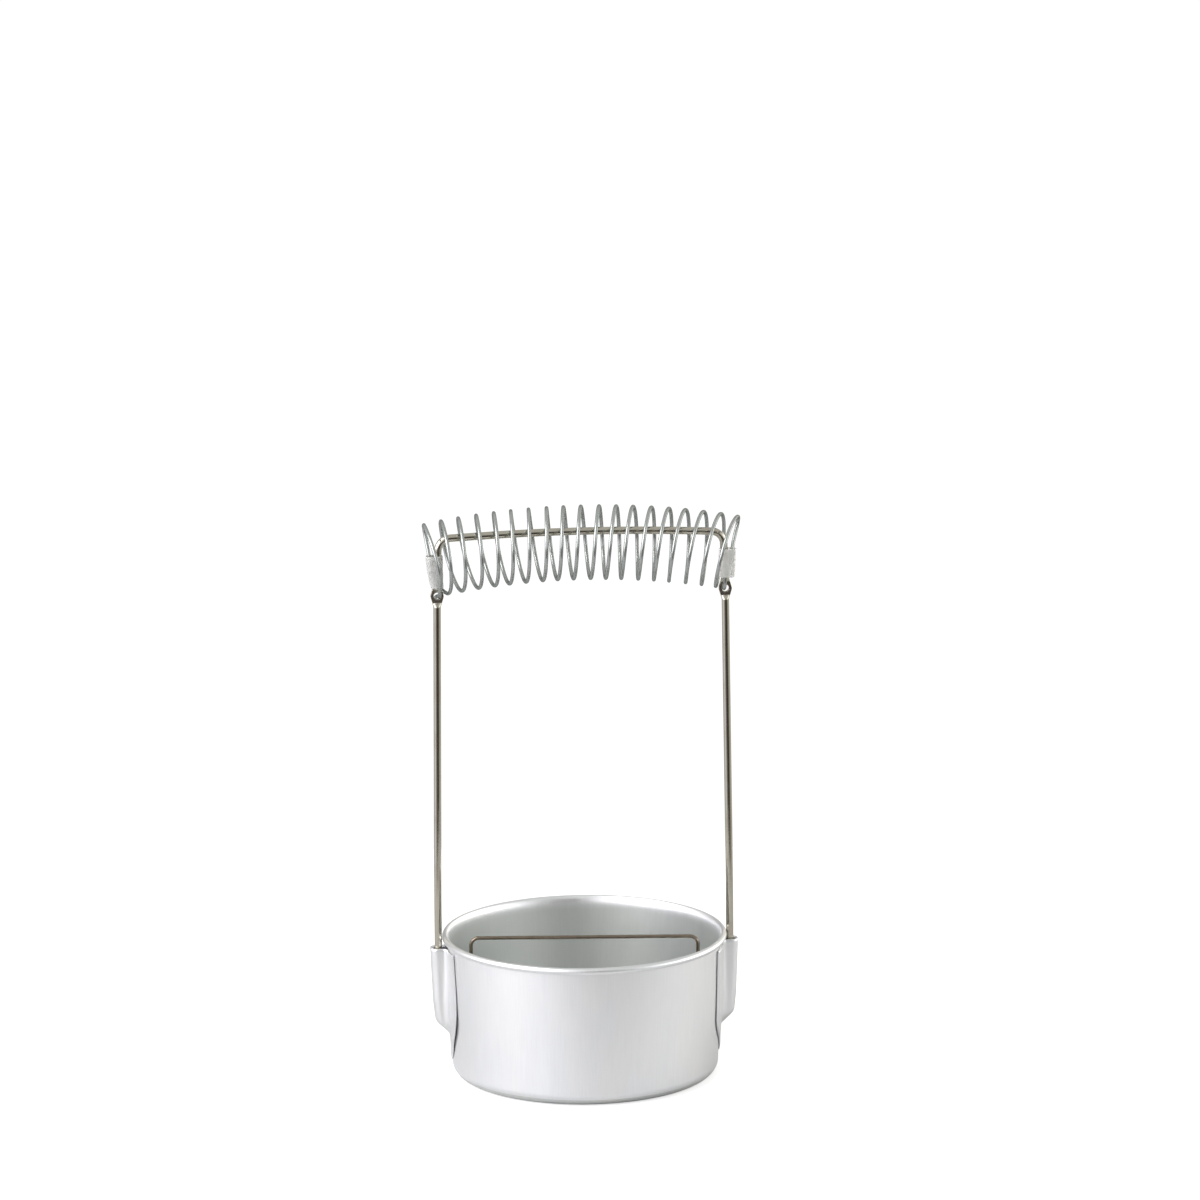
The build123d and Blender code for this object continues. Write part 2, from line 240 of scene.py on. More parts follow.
# ------------------------------------------------------------------- materials
class Nodes:
    """Short-hand for building one material's node tree."""

    def __init__(self, name):
        self.mat = bpy.data.materials.new(name)
        self.mat.use_nodes = True
        self.tree = self.mat.node_tree
        self.tree.nodes.clear()
        self.out = self.add("ShaderNodeOutputMaterial")
        self.bsdf = self.add("ShaderNodeBsdfPrincipled")
        self.link(self.bsdf.outputs["BSDF"], self.out.inputs["Surface"])
        self.coord = self.add("ShaderNodeTexCoord")

    def add(self, kind, **props):
        node = self.tree.nodes.new(kind)
        for key, value in props.items():
            setattr(node, key, value)
        return node

    def link(self, a, b):
        self.tree.links.new(a, b)

    def set(self, **values):
        for key, value in values.items():
            self.bsdf.inputs[key.replace("_", " ")].default_value = value

    def scaled(self, scale, location=(0, 0, 0)):
        mapping = self.add("ShaderNodeMapping")
        mapping.inputs["Scale"].default_value = scale
        mapping.inputs["Location"].default_value = location
        self.link(self.coord.outputs["Object"], mapping.inputs["Vector"])
        return mapping.outputs["Vector"]

    def noise(self, vector, scale=1.0, detail=2.0, rough=0.5, distortion=0.0):
        node = self.add("ShaderNodeTexNoise")
        node.inputs["Scale"].default_value = scale
        node.inputs["Detail"].default_value = detail
        node.inputs["Roughness"].default_value = rough
        node.inputs["Distortion"].default_value = distortion
        self.link(vector, node.inputs["Vector"])
        return node.outputs["Fac"]

    def fit(self, value, a, b, c, d, kind="LINEAR"):
        node = self.add("ShaderNodeMapRange", interpolation_type=kind)
        for key, v in (("From Min", a), ("From Max", b), ("To Min", c), ("To Max", d)):
            node.inputs[key].default_value = v
        self.link(value, node.inputs["Value"])
        return node.outputs["Result"]

    def math(self, op, a, b=None, c=None):
        node = self.add("ShaderNodeMath", operation=op)
        for i, v in enumerate((a, b, c)):
            if v is None:
                continue
            if isinstance(v, (int, float)):
                node.inputs[i].default_value = v
            else:
                self.link(v, node.inputs[i])
        return node.outputs[0]

    def mix(self, fac, a, b, blend="MIX"):
        node = self.add("ShaderNodeMix", data_type="RGBA", blend_type=blend)
        for sock, v in ((node.inputs[0], fac), (node.inputs[6], a), (node.inputs[7], b)):
            if isinstance(v, (int, float)):
                sock.default_value = v
            elif isinstance(v, tuple):
                sock.default_value = (*v, 1.0) if len(v) == 3 else v
            else:
                self.link(v, sock)
        return node.outputs[2]

    def bump(self, height, strength, distance, normal=None):
        node = self.add("ShaderNodeBump")
        node.inputs["Strength"].default_value = strength
        node.inputs["Distance"].default_value = distance * MM
        self.link(height, node.inputs["Height"])
        if normal is not None:
            self.link(normal, node.inputs["Normal"])
        return node.outputs["Normal"]

    def z(self):
        split = self.add("ShaderNodeSeparateXYZ")
        self.link(self.coord.outputs["Object"], split.inputs[0])
        return split.outputs["Z"]


def aluminium(name, streak_scale, cool, warm, rough, streak_bump, rim=False, inside_shade_tint=None):
    """Satin drawn aluminium: fine lines up the wall, faint mottling, tiny scuffs."""
    m = Nodes(name)
    m.set(Metallic=1.0)
    lines = m.noise(m.scaled(streak_scale), 1.0, 3.0, 0.6)
    fine = m.noise(m.scaled((5200, 5200, 900)), 1.0, 2.0, 0.5)
    cloud = m.noise(m.scaled((38, 38, 22)), 1.0, 3.0, 0.55)
    tone = m.fit(cloud, 0.3, 0.7, 0.0, 1.0)
    base = m.mix(tone, cool, warm)
    if inside_shade_tint:
        # painted shade: the inside of the pot gets a darker base colour, fading out towards the lip
        split = m.add("ShaderNodeSeparateXYZ")
        m.link(m.coord.outputs["Object"], split.inputs[0])
        x, y, z = split.outputs
        radius = m.math("SQRT", m.math("ADD", m.math("MULTIPLY", x, x), m.math("MULTIPLY", y, y)))
        reach = m.math("SUBTRACT", radius, m.math("MULTIPLY", z, (WALL_TOP - WALL_FOOT) / ROLL_Z))
        inside_shade_mask = m.fit(reach, (WALL_FOOT - 0.5) * MM, (WALL_FOOT - 0.4) * MM, 1.0, 0.0)
        inside_shade_mask = m.math("MULTIPLY", inside_shade_mask, m.fit(z, 0.0004, 0.0005, 0.0, 1.0))
        inside_shade_mask = m.math("MULTIPLY", inside_shade_mask, m.fit(z, 0.0520, 0.0556, 1.0, 0.0))
        base = m.mix(inside_shade_mask, base, m.mix(1.0, base, inside_shade_tint, "MULTIPLY"))
    shade = m.fit(lines, 0.3, 0.7, 0.955, 1.0)
    grey = m.add("ShaderNodeCombineColor")
    for i in range(3):
        m.link(shade, grey.inputs[i])
    base = m.mix(1.0, base, grey.outputs[0], "MULTIPLY")
    m.link(base, m.bsdf.inputs["Base Color"])
    r = m.math("ADD", m.fit(lines, 0.3, 0.7, rough - 0.035, rough + 0.045), m.fit(fine, 0.3, 0.7, -0.02, 0.02))
    if rim:
        # the rolled lip is burnished
        r = m.math("MULTIPLY", r, m.fit(m.z(), 0.0538, 0.0555, 1.0, 0.82))
    m.link(r, m.bsdf.inputs["Roughness"])
    n = m.bump(lines, streak_bump, 0.02)
    n = m.bump(fine, 0.25, 0.006, n)
    m.link(n, m.bsdf.inputs["Normal"])
    return m.mat


def steel(name, light, dark, rough, line_scale=(2600, 2600, 140), spots=0.5, relief=0.10, edge=(1, 1, 1), pressed=False, metal=1.0):
    """Drawn, plated wire: bright, with faint lengthwise lines and a little tarnish."""
    m = Nodes(name)
    m.set(Metallic=metal)
    m.bsdf.inputs["Specular Tint"].default_value = (*edge, 1)
    lines = m.noise(m.scaled(line_scale), 1.0, 2.0, 0.5)
    tarnish = m.noise(m.scaled((150, 150, 90)), 1.0, 3.0, 0.55)
    tone = m.math("MULTIPLY", m.fit(tarnish, 0.42, 0.72, 0.0, 1.0, "SMOOTHSTEP"), spots)
    base = m.mix(tone, light, dark)
    m.link(base, m.bsdf.inputs["Base Color"])
    r = m.math("ADD", m.fit(lines, 0.3, 0.7, rough - 0.02, rough + 0.03), m.fit(tarnish, 0.4, 0.75, 0.0, 0.05))
    if pressed:
        # the press left the flat eyes duller than the drawn wire
        off = m.math("ABSOLUTE", m.math("SUBTRACT", m.z(), EYE_Z * MM))
        r = m.math("ADD", r, m.fit(off, 0.0026, 0.0032, 0.12, 0.0))
    m.link(r, m.bsdf.inputs["Roughness"])
    m.link(m.bump(lines, relief, 0.006), m.bsdf.inputs["Normal"])
    return m.mat


def plastic(name, base_low, base_high, alpha):
    """Milky, slightly see-through tube that lets light soak through its wall."""
    m = Nodes(name)
    cloud = m.noise(m.scaled((420, 420, 160)), 1.0, 3.0, 0.55)
    lines = m.noise(m.scaled((1500, 1500, 90)), 1.0, 2.0, 0.5)
    base = m.mix(m.fit(cloud, 0.3, 0.7, 0.0, 1.0), base_low, base_high)
    m.link(base, m.bsdf.inputs["Base Color"])
    m.set(IOR=1.46)
    m.bsdf.inputs["Subsurface Weight"].default_value = 1.0
    m.bsdf.inputs["Subsurface Radius"].default_value = (1.0, 1.0, 1.0)
    m.bsdf.inputs["Subsurface Scale"].default_value = 1.0 * MM
    m.link(m.fit(cloud, 0.35, 0.65, alpha - 0.04, alpha + 0.04), m.bsdf.inputs["Alpha"])
    m.link(m.fit(cloud, 0.3, 0.7, 0.38, 0.46), m.bsdf.inputs["Roughness"])
    m.link(m.bump(lines, 0.03, 0.01, m.bump(cloud, 0.04, 0.08)), m.bsdf.inputs["Normal"])
    return m.mat


# the last colour here darkens the pot's inside: painted shade
POT_METAL = aluminium("drawn_aluminium", (2300, 2300, 26), (0.890, 0.903, 0.928), (0.920, 0.922, 0.928), 0.42, 0.5, rim=True, inside_shade_tint=(0.838, 0.853, 0.824))
SOCKET_METAL = aluminium("stamped_aluminium", (1500, 1500, 60), (0.885, 0.897, 0.918), (0.915, 0.918, 0.922), 0.37, 0.35)
PLATE_METAL = aluminium("strainer_sheet_aluminium", (900, 900, 900), (0.76, 0.77, 0.775), (0.80, 0.80, 0.79), 0.36, 0.35)
FRAME_WIRE = steel("frame_wire_nickel", (0.565, 0.538, 0.460), (0.42, 0.375, 0.30), 0.11, pressed=True)
COIL_WIRE = steel("coil_wire_zinc", (0.43, 0.45, 0.437), (0.355, 0.375, 0.366), 0.18, (300, 300, 300), 0.35, 0.0, (0.42, 0.45, 0.43), metal=0.74)
HANDLE_WIRE = steel("handle_wire_nickel", (0.27, 0.225, 0.175), (0.19, 0.155, 0.12), 0.2)
# painted light: both sleeves are one plastic; the left one's colour is darkened where the left lamp falls on it, and
# the right one's is whitened to lift its shaded side. The right sleeve is also the clearer of the two
SLEEVES = {
    "left": plastic("sleeve_plastic", (0.60, 0.605, 0.585), (0.645, 0.65, 0.63), 0.80),
    "right": plastic("sleeve_plastic_painted_lighter", (0.86, 0.86, 0.83), (0.90, 0.90, 0.87), 0.49),
}

# ------------------------------------------------------------------------- pot
wall_angle = math.degrees(math.atan((WALL_TOP - WALL_FOOT) / ROLL_Z))
slope = (WALL_TOP - WALL_FOOT) / ROLL_Z
norm = math.hypot(1, slope)
outer_c = WALL_FOOT + slope * CORNER - CORNER * norm
inner_r = CORNER - SHEET
inner_c = (WALL_FOOT - SHEET) + slope * inner_r - inner_r * norm
profile = [(0.0, SHEET)] + [(r, SHEET) for r in (8, 20, 32, 42)]
profile += arc_points(inner_c, SHEET + inner_r, inner_r, -90, -wall_angle, 14)
z0 = profile[-1][1]
FLARE_Z = 53.0
for i in range(1, 12):
    z = z0 + (FLARE_Z - z0) * i / 11
    profile.append((wall_r(z) - SHEET, z))
# the inside turns out gently into the lip
flare_r = wall_r(FLARE_Z) - SHEET
for i in range(1, 19):
    a = math.radians(90 * i / 18)
    profile.append((ROLL_R - (ROLL_R - flare_r) * math.cos(a), FLARE_Z + (POT_H - FLARE_Z) * math.sin(a)))
# rolled lip: over the top, down the outside and tucked in under
profile += arc_points(ROLL_R, ROLL_Z, ROLL, 90, -84, 30)[1:]
profile += [(55.62, 54.96), (55.52, 55.28), (55.64, 55.62)]
profile += arc_points(ROLL_R + 0.02, ROLL_Z, 0.46, -80, 150, 16)
profile += [(55.1, 56.0), (wall_r(55.2), 55.2)]
for i in range(1, 13):
    z = 55.2 - (55.2 - 6.0) * i / 12
    profile.append((wall_r(z), z))
profile += arc_points(outer_c, CORNER, CORNER, -wall_angle, -90, 16)
profile += [(42, 0.0), (30, 0.0), (15, 0.0), (0.0, 0.0)]
verts, faces = lathe(profile, 288)
pot_shell = make("pot_shell", verts, faces, POT_METAL, "pot", ["pot"])

# --------------------------------------------------------------------- sockets
HALF_W = wall_r(28) * math.sin(math.radians(20.5))


def plate_edges(z):
    """How far the stamped plate reaches to each side of the channel at a height: local -Y, then +Y."""
    keys = [
        (SOCKET_TIP, 0.0, 0.0), (6.62, 1.3, 1.3), (7.05, 2.6, 2.5), (8.6, 4.9, 4.3), (10.8, 7.9, 6.3), (13.5, 11.4, 8.2),
        (17.0, 15.3, 10.6), (19.0, 17.2, 12.0), (21.0, 18.7, 13.1), (24.0, HALF_W + 0.5, HALF_W - 4.9),
        (28.0, HALF_W + 0.55, HALF_W - 4.45), (36.0, HALF_W + 0.6, HALF_W - 4.5), (44.0, HALF_W + 1.1, HALF_W - 4.9),
        (SOCKET_TOP, HALF_W + 1.7, HALF_W - 5.4),
    ]
    zs = [k[0] for k in keys]
    return tuple(float(np.interp(z, zs, [k[j] for k in keys])) for j in (1, 2))


def channel_out(z):
    """Outside x of the channel's top at a height, before it sinks into the plate."""
    return float(np.interp(z, [17.0, 22.6, 31.0, SOCKET_TOP], [55.0, 60.2, 61.1, 61.9]))


def channel_height(z):
    """How far the channel stands off the plate: full down to its foot, then a soft slope."""
    full = channel_out(max(z, 22.6)) - (wall_r(z) + 0.8)
    slope_part = (z - 17.3) * 1.02
    k = 0.7
    h = min(full, slope_part)
    # rounded corner where the slope begins, and rounded run-out at its lower end
    blend = max(0.0, 1 - abs(full - slope_part) / (2 * k))
    h -= k * 0.5 * blend * blend
    if h < 1.0:
        h = 0.25 * (h + 1.0) ** 2 if h > -1.0 else 0.0
    return h


def section_points(z, w, out_r=2.75):
    """Half cross-section from the middle of the channel to the plate's edge at w: (y, height off the plate)."""
    h = channel_height(z)
    foot_r = float(np.interp(z, [26.0, 32.0, SOCKET_TOP], [3.0, 2.9, 1.25]))  # rounder lower down
    half = 3.5
    out_n, side_n, foot_n, wing_n = 9, 3, 6, 8
    pts = []
    limit = out_r + foot_r
    angle = math.pi / 2 if h >= limit else math.acos(max(-1.0, 1 - h / limit))
    crown = half - out_r
    wall = max(0.0, h - limit)
    pts.append((0.0, h))
    pts.append((crown * 0.6, h))
    for i in range(out_n + 1):
        a = angle * i / out_n
        pts.append((crown + out_r * math.sin(a), h - out_r * (1 - math.cos(a))))
    y, hh = pts[-1]
    for i in range(1, side_n + 1):
        pts.append((y, hh - wall * i / side_n))
    y, hh = pts[-1]
    for i in range(1, foot_n + 1):
        a = angle * (1 - i / foot_n)
        # concave foot, centre outboard
        pts.append((y + foot_r * (math.sin(angle) - math.sin(a)), hh - foot_r * (math.cos(a) - math.cos(angle))))
    y, hh = pts[-1]
    for i in range(1, wing_n + 1):
        pts.append((y + (max(w, y) - y) * i / wing_n, hh * (1 - i / wing_n)))
    # a narrow tail squeezes the whole section sideways
    if pts[-1][0] > w + 1e-6 or w < y + 0.8:
        k = w / max(pts[-1][0], 1e-6)
        pts = [(p[0] * k, p[1]) for p in pts]
    # evenly spaced along the section
    run = np.concatenate([[0.0], np.cumsum([math.hypot(b[0] - a[0], b[1] - a[1]) for a, b in zip(pts, pts[1:])])])
    at = np.linspace(0.0, run[-1], 44)
    return list(zip(np.interp(at, run, [p[0] for p in pts]), np.interp(at, run, [p[1] for p in pts])))


def lift(y, w, z, side):
    """The plate's free edges stand a little off the pot, most in the lower third."""
    if w < 1e-6:
        return 0.03
    e = smooth((abs(y) / w - 0.55) / 0.45)
    low = math.exp(-(((z - 21.0) / 8.5) ** 2))
    amount = 0.10 + (0.50 if side < 0 else 0.10) * low
    return 0.03 + e * amount * smooth(w / 9.0)


def dent(y, z):
    """Faint marks of the crimping tool across the channel, about half way up."""
    d = 0.0
    for zc, depth in ((37.2, 0.10), (34.6, 0.07)):
        d += depth * math.exp(-(((z - zc) / 0.55) ** 2)) * math.exp(-((y / 3.4) ** 4))
    return d


def sheet_ring(out, back, side, z):
    """One closed ring of the bent sheet: its face, a rounded cut edge, its back, the other cut edge."""
    pts = list(out)
    for (x0, y0), (x1, y1), (xb, yb) in ((out[-1], out[-2], back[-1]), (out[0], out[1], back[0])):
        l = math.hypot(x0 - x1, y0 - y1) or 1.0
        reach = min(0.09, l)
        tx, ty = (x0 - x1) / l * reach, (y0 - y1) / l * reach
        a = (x0 * 0.84 + xb * 0.16 + tx, y0 * 0.84 + yb * 0.16 + ty)
        b = (x0 * 0.16 + xb * 0.84 + tx, y0 * 0.16 + yb * 0.84 + ty)
        if y0 == out[-1][1]:
            pts += [a, b] + list(reversed(back))
        else:
            pts += [b, a]
    return [(side * x, side * y, z) for x, y in pts]


def socket_sheet(side):
    levels = [SOCKET_TOP - 0.9 * i for i in range(0, 24)]
    z = levels[-1]
    while z > 9.0:
        z -= 0.45
        levels.append(z)
    levels += [8.2, 7.7, 7.3, 7.0, 6.8, 6.66, 6.57, 6.52]
    rings = []
    for z in levels:
        near, far = (section_points(z, w) for w in plate_edges(z))
        thick = 0.8 * (0.55 + 0.45 * smooth((z - 8.0) / 11.0))  # the tail is ironed thin
        full = [(-y, h) for y, h in reversed(near[1:])] + far
        row = []
        for y, h in full:
            w = near[-1][0] if y < 0 else far[-1][0]
            base = math.sqrt(max((wall_r(z) + thick + lift(y, w, z, side)) ** 2 - y * y, 0.0))
            row.append((base + h - dent(y, z) * (1 if h > 1 else 0), y))
        # offset inward along the section's own normal
        rowi = []
        for i, (x, y) in enumerate(row):
            a, b = row[max(i - 1, 0)], row[min(i + 1, len(row) - 1)]
            tx, ty = b[0] - a[0], b[1] - a[1]
            l = math.hypot(tx, ty) or 1.0
            nx, ny = -ty / l, tx / l  # to the pot
            if i in (0, len(row) - 1):
                l = math.hypot(x, y)
                nx, ny = -x / l, -y / l
            # the sheared edge is thinned
            edge = near[-1][0] if y < 0 else far[-1][0]
            local = thick - 0.12 * smooth((abs(y) / max(edge, 1e-6) - 0.8) / 0.2) * smooth(edge / 9.0)
            rowi.append((x + nx * local, y + ny * local))
        rings.append(sheet_ring(row, rowi, side, z))
        if len(rings) == 1:  # the mouth's rim is slightly rounded
            row = [(x * 0.84 + u * 0.16, y * 0.84 + v * 0.16) for (x, y), (u, v) in zip(row, rowi)]
            rowi = [(x * 0.19 + u * 0.81, y * 0.19 + v * 0.81) for (x, y), (u, v) in zip(row, rowi)]
            rings.insert(0, sheet_ring(row, rowi, side, z + 0.09))
    m = len(row)
    verts, faces = skin(rings)
    for base in (0, (len(rings) - 1) * (2 * m + 4)):  # the mouth's rim and the tail's end
        for j in range(m - 1):
            faces.append((base + j, base + j + 1, base + 2 * m - j, base + 2 * m + 1 - j))
        faces.append((base + m - 1, base + m, base + m + 1, base + m + 2))
        faces.append((base, base + 2 * m + 1, base + 2 * m + 2, base + 2 * m + 3))
    return verts, faces


for name, side in (("left", -1), ("right", 1)):
    verts, faces = socket_sheet(side)
    socket = make(name + "_socket_plate", verts, faces, SOCKET_METAL, "pot", [name + "_socket"])

# ------------------------------------------------------------------ wire frame
NECK = 4.9


def wire_size(p):
    """Half sizes of the frame wire: round, pressed flat towards the eyes."""
    d = abs(p.z - EYE_Z)
    if abs(p.x) < 50 or d > NECK:
        return 1.5, 1.5
    t = 1 - smooth((d - 2.95) / 1.3)
    return 1.5 + 0.4 * (1 - smooth((d - 2.9) / 1.5)), 1.5 - 0.80 * t


EYE_HOLE = 1.37


def eye_edge(away):
    """Outer radius of the pressed eye, by degrees away from straight up or down."""
    if away < 33.2:
        return 2.9 / math.cos(math.radians(away))
    if away < 74.2:
        return 2.62 / math.cos(math.radians(74.2 - away))
    return 2.62


verts, faces = [], []


def merge(into_v, into_f, v, f):
    base = len(into_v)
    into_v += v
    into_f += [tuple(base + i for i in face) for face in f]


top_path = filleted(
    [(-(EYE_X - 0.02), 0, EYE_Z + 1.95), (-57.2, 0, EYE_Z + NECK), (-56.6, 0, 219.4), (0, 0, 222.0), (56.6, 0, 219.4), (57.2, 0, EYE_Z + NECK), (EYE_X - 0.02, 0, EYE_Z + 1.95)],
    [60, 5.2, 900, 5.2, 60],
    0.8,
)
merge(verts, faces, *tube(top_path, wire_size, 28, 0.1, up=(0, 1, 0)))
for side in (-1, 1):
    leg_path = filleted(
        [(side * LEG_X, 0, 33.0), (side * LEG_X, 0, 70.0), (side * (EYE_X + 0.05), 0, EYE_Z - NECK), (side * EYE_X, 0, EYE_Z - 1.95)],
        [2000, 60],
        0.9,
    )
    merge(verts, faces, *tube(leg_path, wire_size, 28, 0.45, up=(0, 1, 0)))
    # the eye: wire pressed flat and punched, with a straight shoulder above and below
    rings = []
    for k in range(80):
        a = 2 * math.pi * k / 80
        out = eye_edge(math.degrees(min(a, abs(a - math.pi), 2 * math.pi - a)))
        ring = []
        for j in range(28):
            b = 2 * math.pi * j / 28
            cu, su = math.cos(b), math.sin(b)
            u = math.copysign(abs(cu) ** 0.22, cu) * (out - EYE_HOLE) / 2
            v = math.copysign(abs(su) ** 0.22, su) * 0.75
            r = (out + EYE_HOLE) / 2 + u
            ring.append((side * EYE_X + r * math.sin(a), v, EYE_Z + r * math.cos(a)))
        rings.append(ring)
    rings.append(rings[0])
    merge(verts, faces, *skin(rings))
wire = make("bent_wire_frame", verts, faces, FRAME_WIRE, "brush_holder", ["wire_frame"])


# ------------------------------------------------------------------------ coil
def turn_point(s, wander=True):
    x_axis = (s - TURNS / 2) * PITCH
    # the two end troughs are drawn in, clear of the eyes
    x_axis += 0.6 * math.exp(-(((s - 1) / 0.3) ** 2)) - 0.6 * math.exp(-(((s - TURNS + 1) / 0.3) ** 2))
    if wander:  # hand-wound spacing is never quite even
        fade = smooth((s - 1.2) / 1.5) * smooth((17.8 - s) / 1.5)
        x_axis += fade * (0.20 * math.sin(1.9 * s + 0.7) + 0.13 * math.sin(4.3 * s + 2.0))
    z_axis = COIL_Z - x_axis**2 / 650.0
    lean = x_axis / 370.0
    swing = math.tan(math.radians(-4.1 - 0.195 * x_axis))
    h = -COIL_R * math.cos(2 * math.pi * s)
    y = -COIL_R * math.sin(2 * math.pi * s)
    return Vector((x_axis + h * math.sin(lean) - y * swing, y, z_axis + h * math.cos(lean)))


def turn_tangent(s):
    return (turn_point(s + 1e-3) - turn_point(s - 1e-3)).normalized()


in_left, in_right = Vector((-EYE_X + 0.5, 0, EYE_Z - 0.15)), Vector((EYE_X - 0.55, 0.2, EYE_Z - 0.15))
coil = bezier((-EYE_X - 0.6, 3.2, EYE_Z - 1.6), (0.25, -0.75, 0.75), 1.4, in_left, (0, -1, 0.02), 1.3, 8)
for i in range(1, 33):
    s = 0.5 * i / 32
    ease = (0.5 - s) / 0.5
    p = turn_point(s) + Vector((3.9 * smooth(ease) - 1.05 * math.exp(-(((s - 0.12) / 0.085) ** 2)), 0, 0))
    p.z += (in_left.z - turn_point(0).z) * smooth(1 - s / 0.12)
    coil.append(p)
coil += bezier(coil[-1], turn_tangent(0.5), 7.5, (-60.2, 1.0, 212.6), (0.13, -0.2, -0.97), 3.4)[1:]
coil += bezier((-60.2, 1.0, 212.6), (0.13, -0.2, -0.97), 3.6, (-56.75, 2.75, 201.8), (0.28, 0.08, -0.95), 6.4)[1:]
coil += bezier((-56.75, 2.75, 201.8), (0.28, 0.08, -0.95), 4.0, turn_point(1.0), turn_tangent(1.0), 1.9)[1:]
steps = 72
for i in range(1, int(17.5 * steps) + 1):
    coil.append(turn_point(1.0 + i / steps))
coil += bezier(coil[-1], turn_tangent(18.5), 9.0, (60.35, 0.6, 212.6), (-0.12, -0.4, -0.92), 4.4)[1:]
coil += bezier((60.35, 0.6, 212.6), (-0.12, -0.4, -0.92), 4.0, (57.15, -2.7, 201.8), (-0.1, 0, -1), 4.8)[1:]
coil += bezier((57.15, -2.7, 201.8), (-0.1, 0, -1), 1.2, in_right, (0, 1, 0), 3.4)[1:]
coil += bezier(in_right, (0, 1, 0), 2.2, (EYE_X - 0.35, 3.5, EYE_Z + 1.8), (0.05, 0.05, 1), 1.2, 8)[1:]
verts, faces = tube(coil, 0.75, 16, 0.2)
spring = make("wound_coil_spring", verts, faces, COIL_WIRE, "brush_holder", ["coil_spring"])


# --------------------------------------------------------------------- sleeves
def leg_axis_x(z):
    return EYE_X - 0.7 * (z - EYE_Z) / 22.9


def rounded_section(cx, cy, w, d, r, z, n=10, tilt=0.0):
    """Rounded rectangle in plan, counter-clockwise, cut slightly askew."""
    pts = []
    for sx, sy, a0 in ((1, 1, 0), (-1, 1, 90), (-1, -1, 180), (1, -1, 270)):
        for i in range(n):
            a = math.radians(a0 + 90 * i / (n - 1))
            x = cx + sx * (w / 2 - r) + r * math.cos(a)
            y = cy + sy * (d / 2 - r) + r * math.sin(a)
            pts.append((x, y, z + tilt * (x - cx)))
    return pts


def sleeve_mesh(side):
    foot, foot_out, foot_w, mid_w = (199.6, 0.05, 5.1, 6.3) if side < 0 else (201.4, 0.6, 6.2, 6.6)
    keys = (
        (foot, side * (leg_axis_x(foot) + foot_out), -side * 1.14, foot_w, 6.3),
        (206.6, side * (leg_axis_x(206.6) + 0.95), -side * 0.74, mid_w, 5.65),
        (212.6, side * (leg_axis_x(212.6) + 1.45), -side * 0.30, 6.95, 4.75),
    )
    zs = [k[0] for k in keys]
    rows = []
    levels = 14
    for i in range(levels + 1):
        z = foot + (212.6 - foot) * i / levels
        cx, cy, w, d = (float(np.interp(z, zs, [k[j] for k in keys])) for j in range(1, 5))
        wob = 0.06 * math.sin(z * 1.3 + side)
        rows.append((z, cx + 0.4 * wob, cy, w + wob, d - wob))
    thick = 0.4
    outer = [rounded_section(cx, cy, w, d, 2.2, z) for z, cx, cy, w, d in rows]
    inner = [rounded_section(cx, cy, w - 2 * thick, d - 2 * thick, 1.8, z) for z, cx, cy, w, d in rows]
    path = outer + [inner[-1]] + list(reversed(inner))[1:] + [outer[0]]
    return skin(path)


for name, side in (("left", -1), ("right", 1)):
    verts, faces = sleeve_mesh(side)
    sleeve = make(name + "_sleeve_tube", verts, faces, SLEEVES[name], "brush_holder", [name + "_sleeve"])
    add_modifier_bevel(sleeve, 0.12, 2, 50)

# -------------------------------------------------------------------- strainer
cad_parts["strainer_plate"].data.materials.clear()
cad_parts["strainer_plate"].data.materials.append(PLATE_METAL)

cos_t, sin_t = math.cos(HANDLE_TURN), math.sin(HANDLE_TURN)
FOOT_Z = 11.15
bow = filleted(
    [(-40.0, 0, FOOT_Z), (-45.5, 0, FOOT_Z), (-45.5, 0, 55.0), (45.5, 0, 55.0), (45.5, 0, FOOT_Z), (40.0, 0, FOOT_Z)],
    [1.0, 3.2, 3.2, 1.0],
    0.8,
    8.0,
)
bow = [Vector((p.x * cos_t, p.x * sin_t, p.z)) for p in bow]
verts, faces = tube(bow, 0.75, 20, 0.2)
handle = make("strainer_bow_handle", verts, faces, HANDLE_WIRE, "strainer", ["strainer_handle"])

# ----------------------------------------------------------------------- floor
# a round white table top; the room beyond it is plain white to the camera
TABLE_R = 0.36
rim = [(TABLE_R * math.cos(2 * math.pi * k / 128), TABLE_R * math.sin(2 * math.pi * k / 128), 0.0) for k in range(128)]
floor_mesh = bpy.data.meshes.new("floor")
floor_mesh.from_pydata(rim, [], [tuple(range(128))])
floor = bpy.data.objects.new("floor", floor_mesh)
scene.collection.objects.link(floor)
fm = Nodes("floor_white")
speck = fm.noise(fm.scaled((40, 40, 40)), 1.0, 2.0, 0.5)
fm.link(fm.mix(fm.fit(speck, 0.3, 0.7, 0.0, 1.0), (0.59, 0.59, 0.59), (0.61, 0.61, 0.61)), fm.bsdf.inputs["Base Color"])
fm.set(Roughness=0.9)
fm.bsdf.inputs["Specular IOR Level"].default_value = 0.1
fm.bsdf.inputs["Emission Color"].default_value = (1, 1, 1, 1)
fm_path = fm.add("ShaderNodeLightPath")
fm.link(fm.math("MULTIPLY", fm_path.outputs["Is Camera Ray"], 0.62), fm.bsdf.inputs["Emission Strength"])
floor.data.materials.append(fm.mat)

# ----------------------------------------------------------------------- light
world = bpy.data.worlds.new("studio")
scene.world = world
world.use_nodes = True
wt = world.node_tree
wt.nodes.clear()


def wnode(kind, **props):
    node = wt.nodes.new(kind)
    for key, value in props.items():
        setattr(node, key, value)
    return node


w_out, w_bg, w_coord = wnode("ShaderNodeOutputWorld"), wnode("ShaderNodeBackground"), wnode("ShaderNodeTexCoord")
wt.links.new(w_bg.outputs[0], w_out.inputs[0])


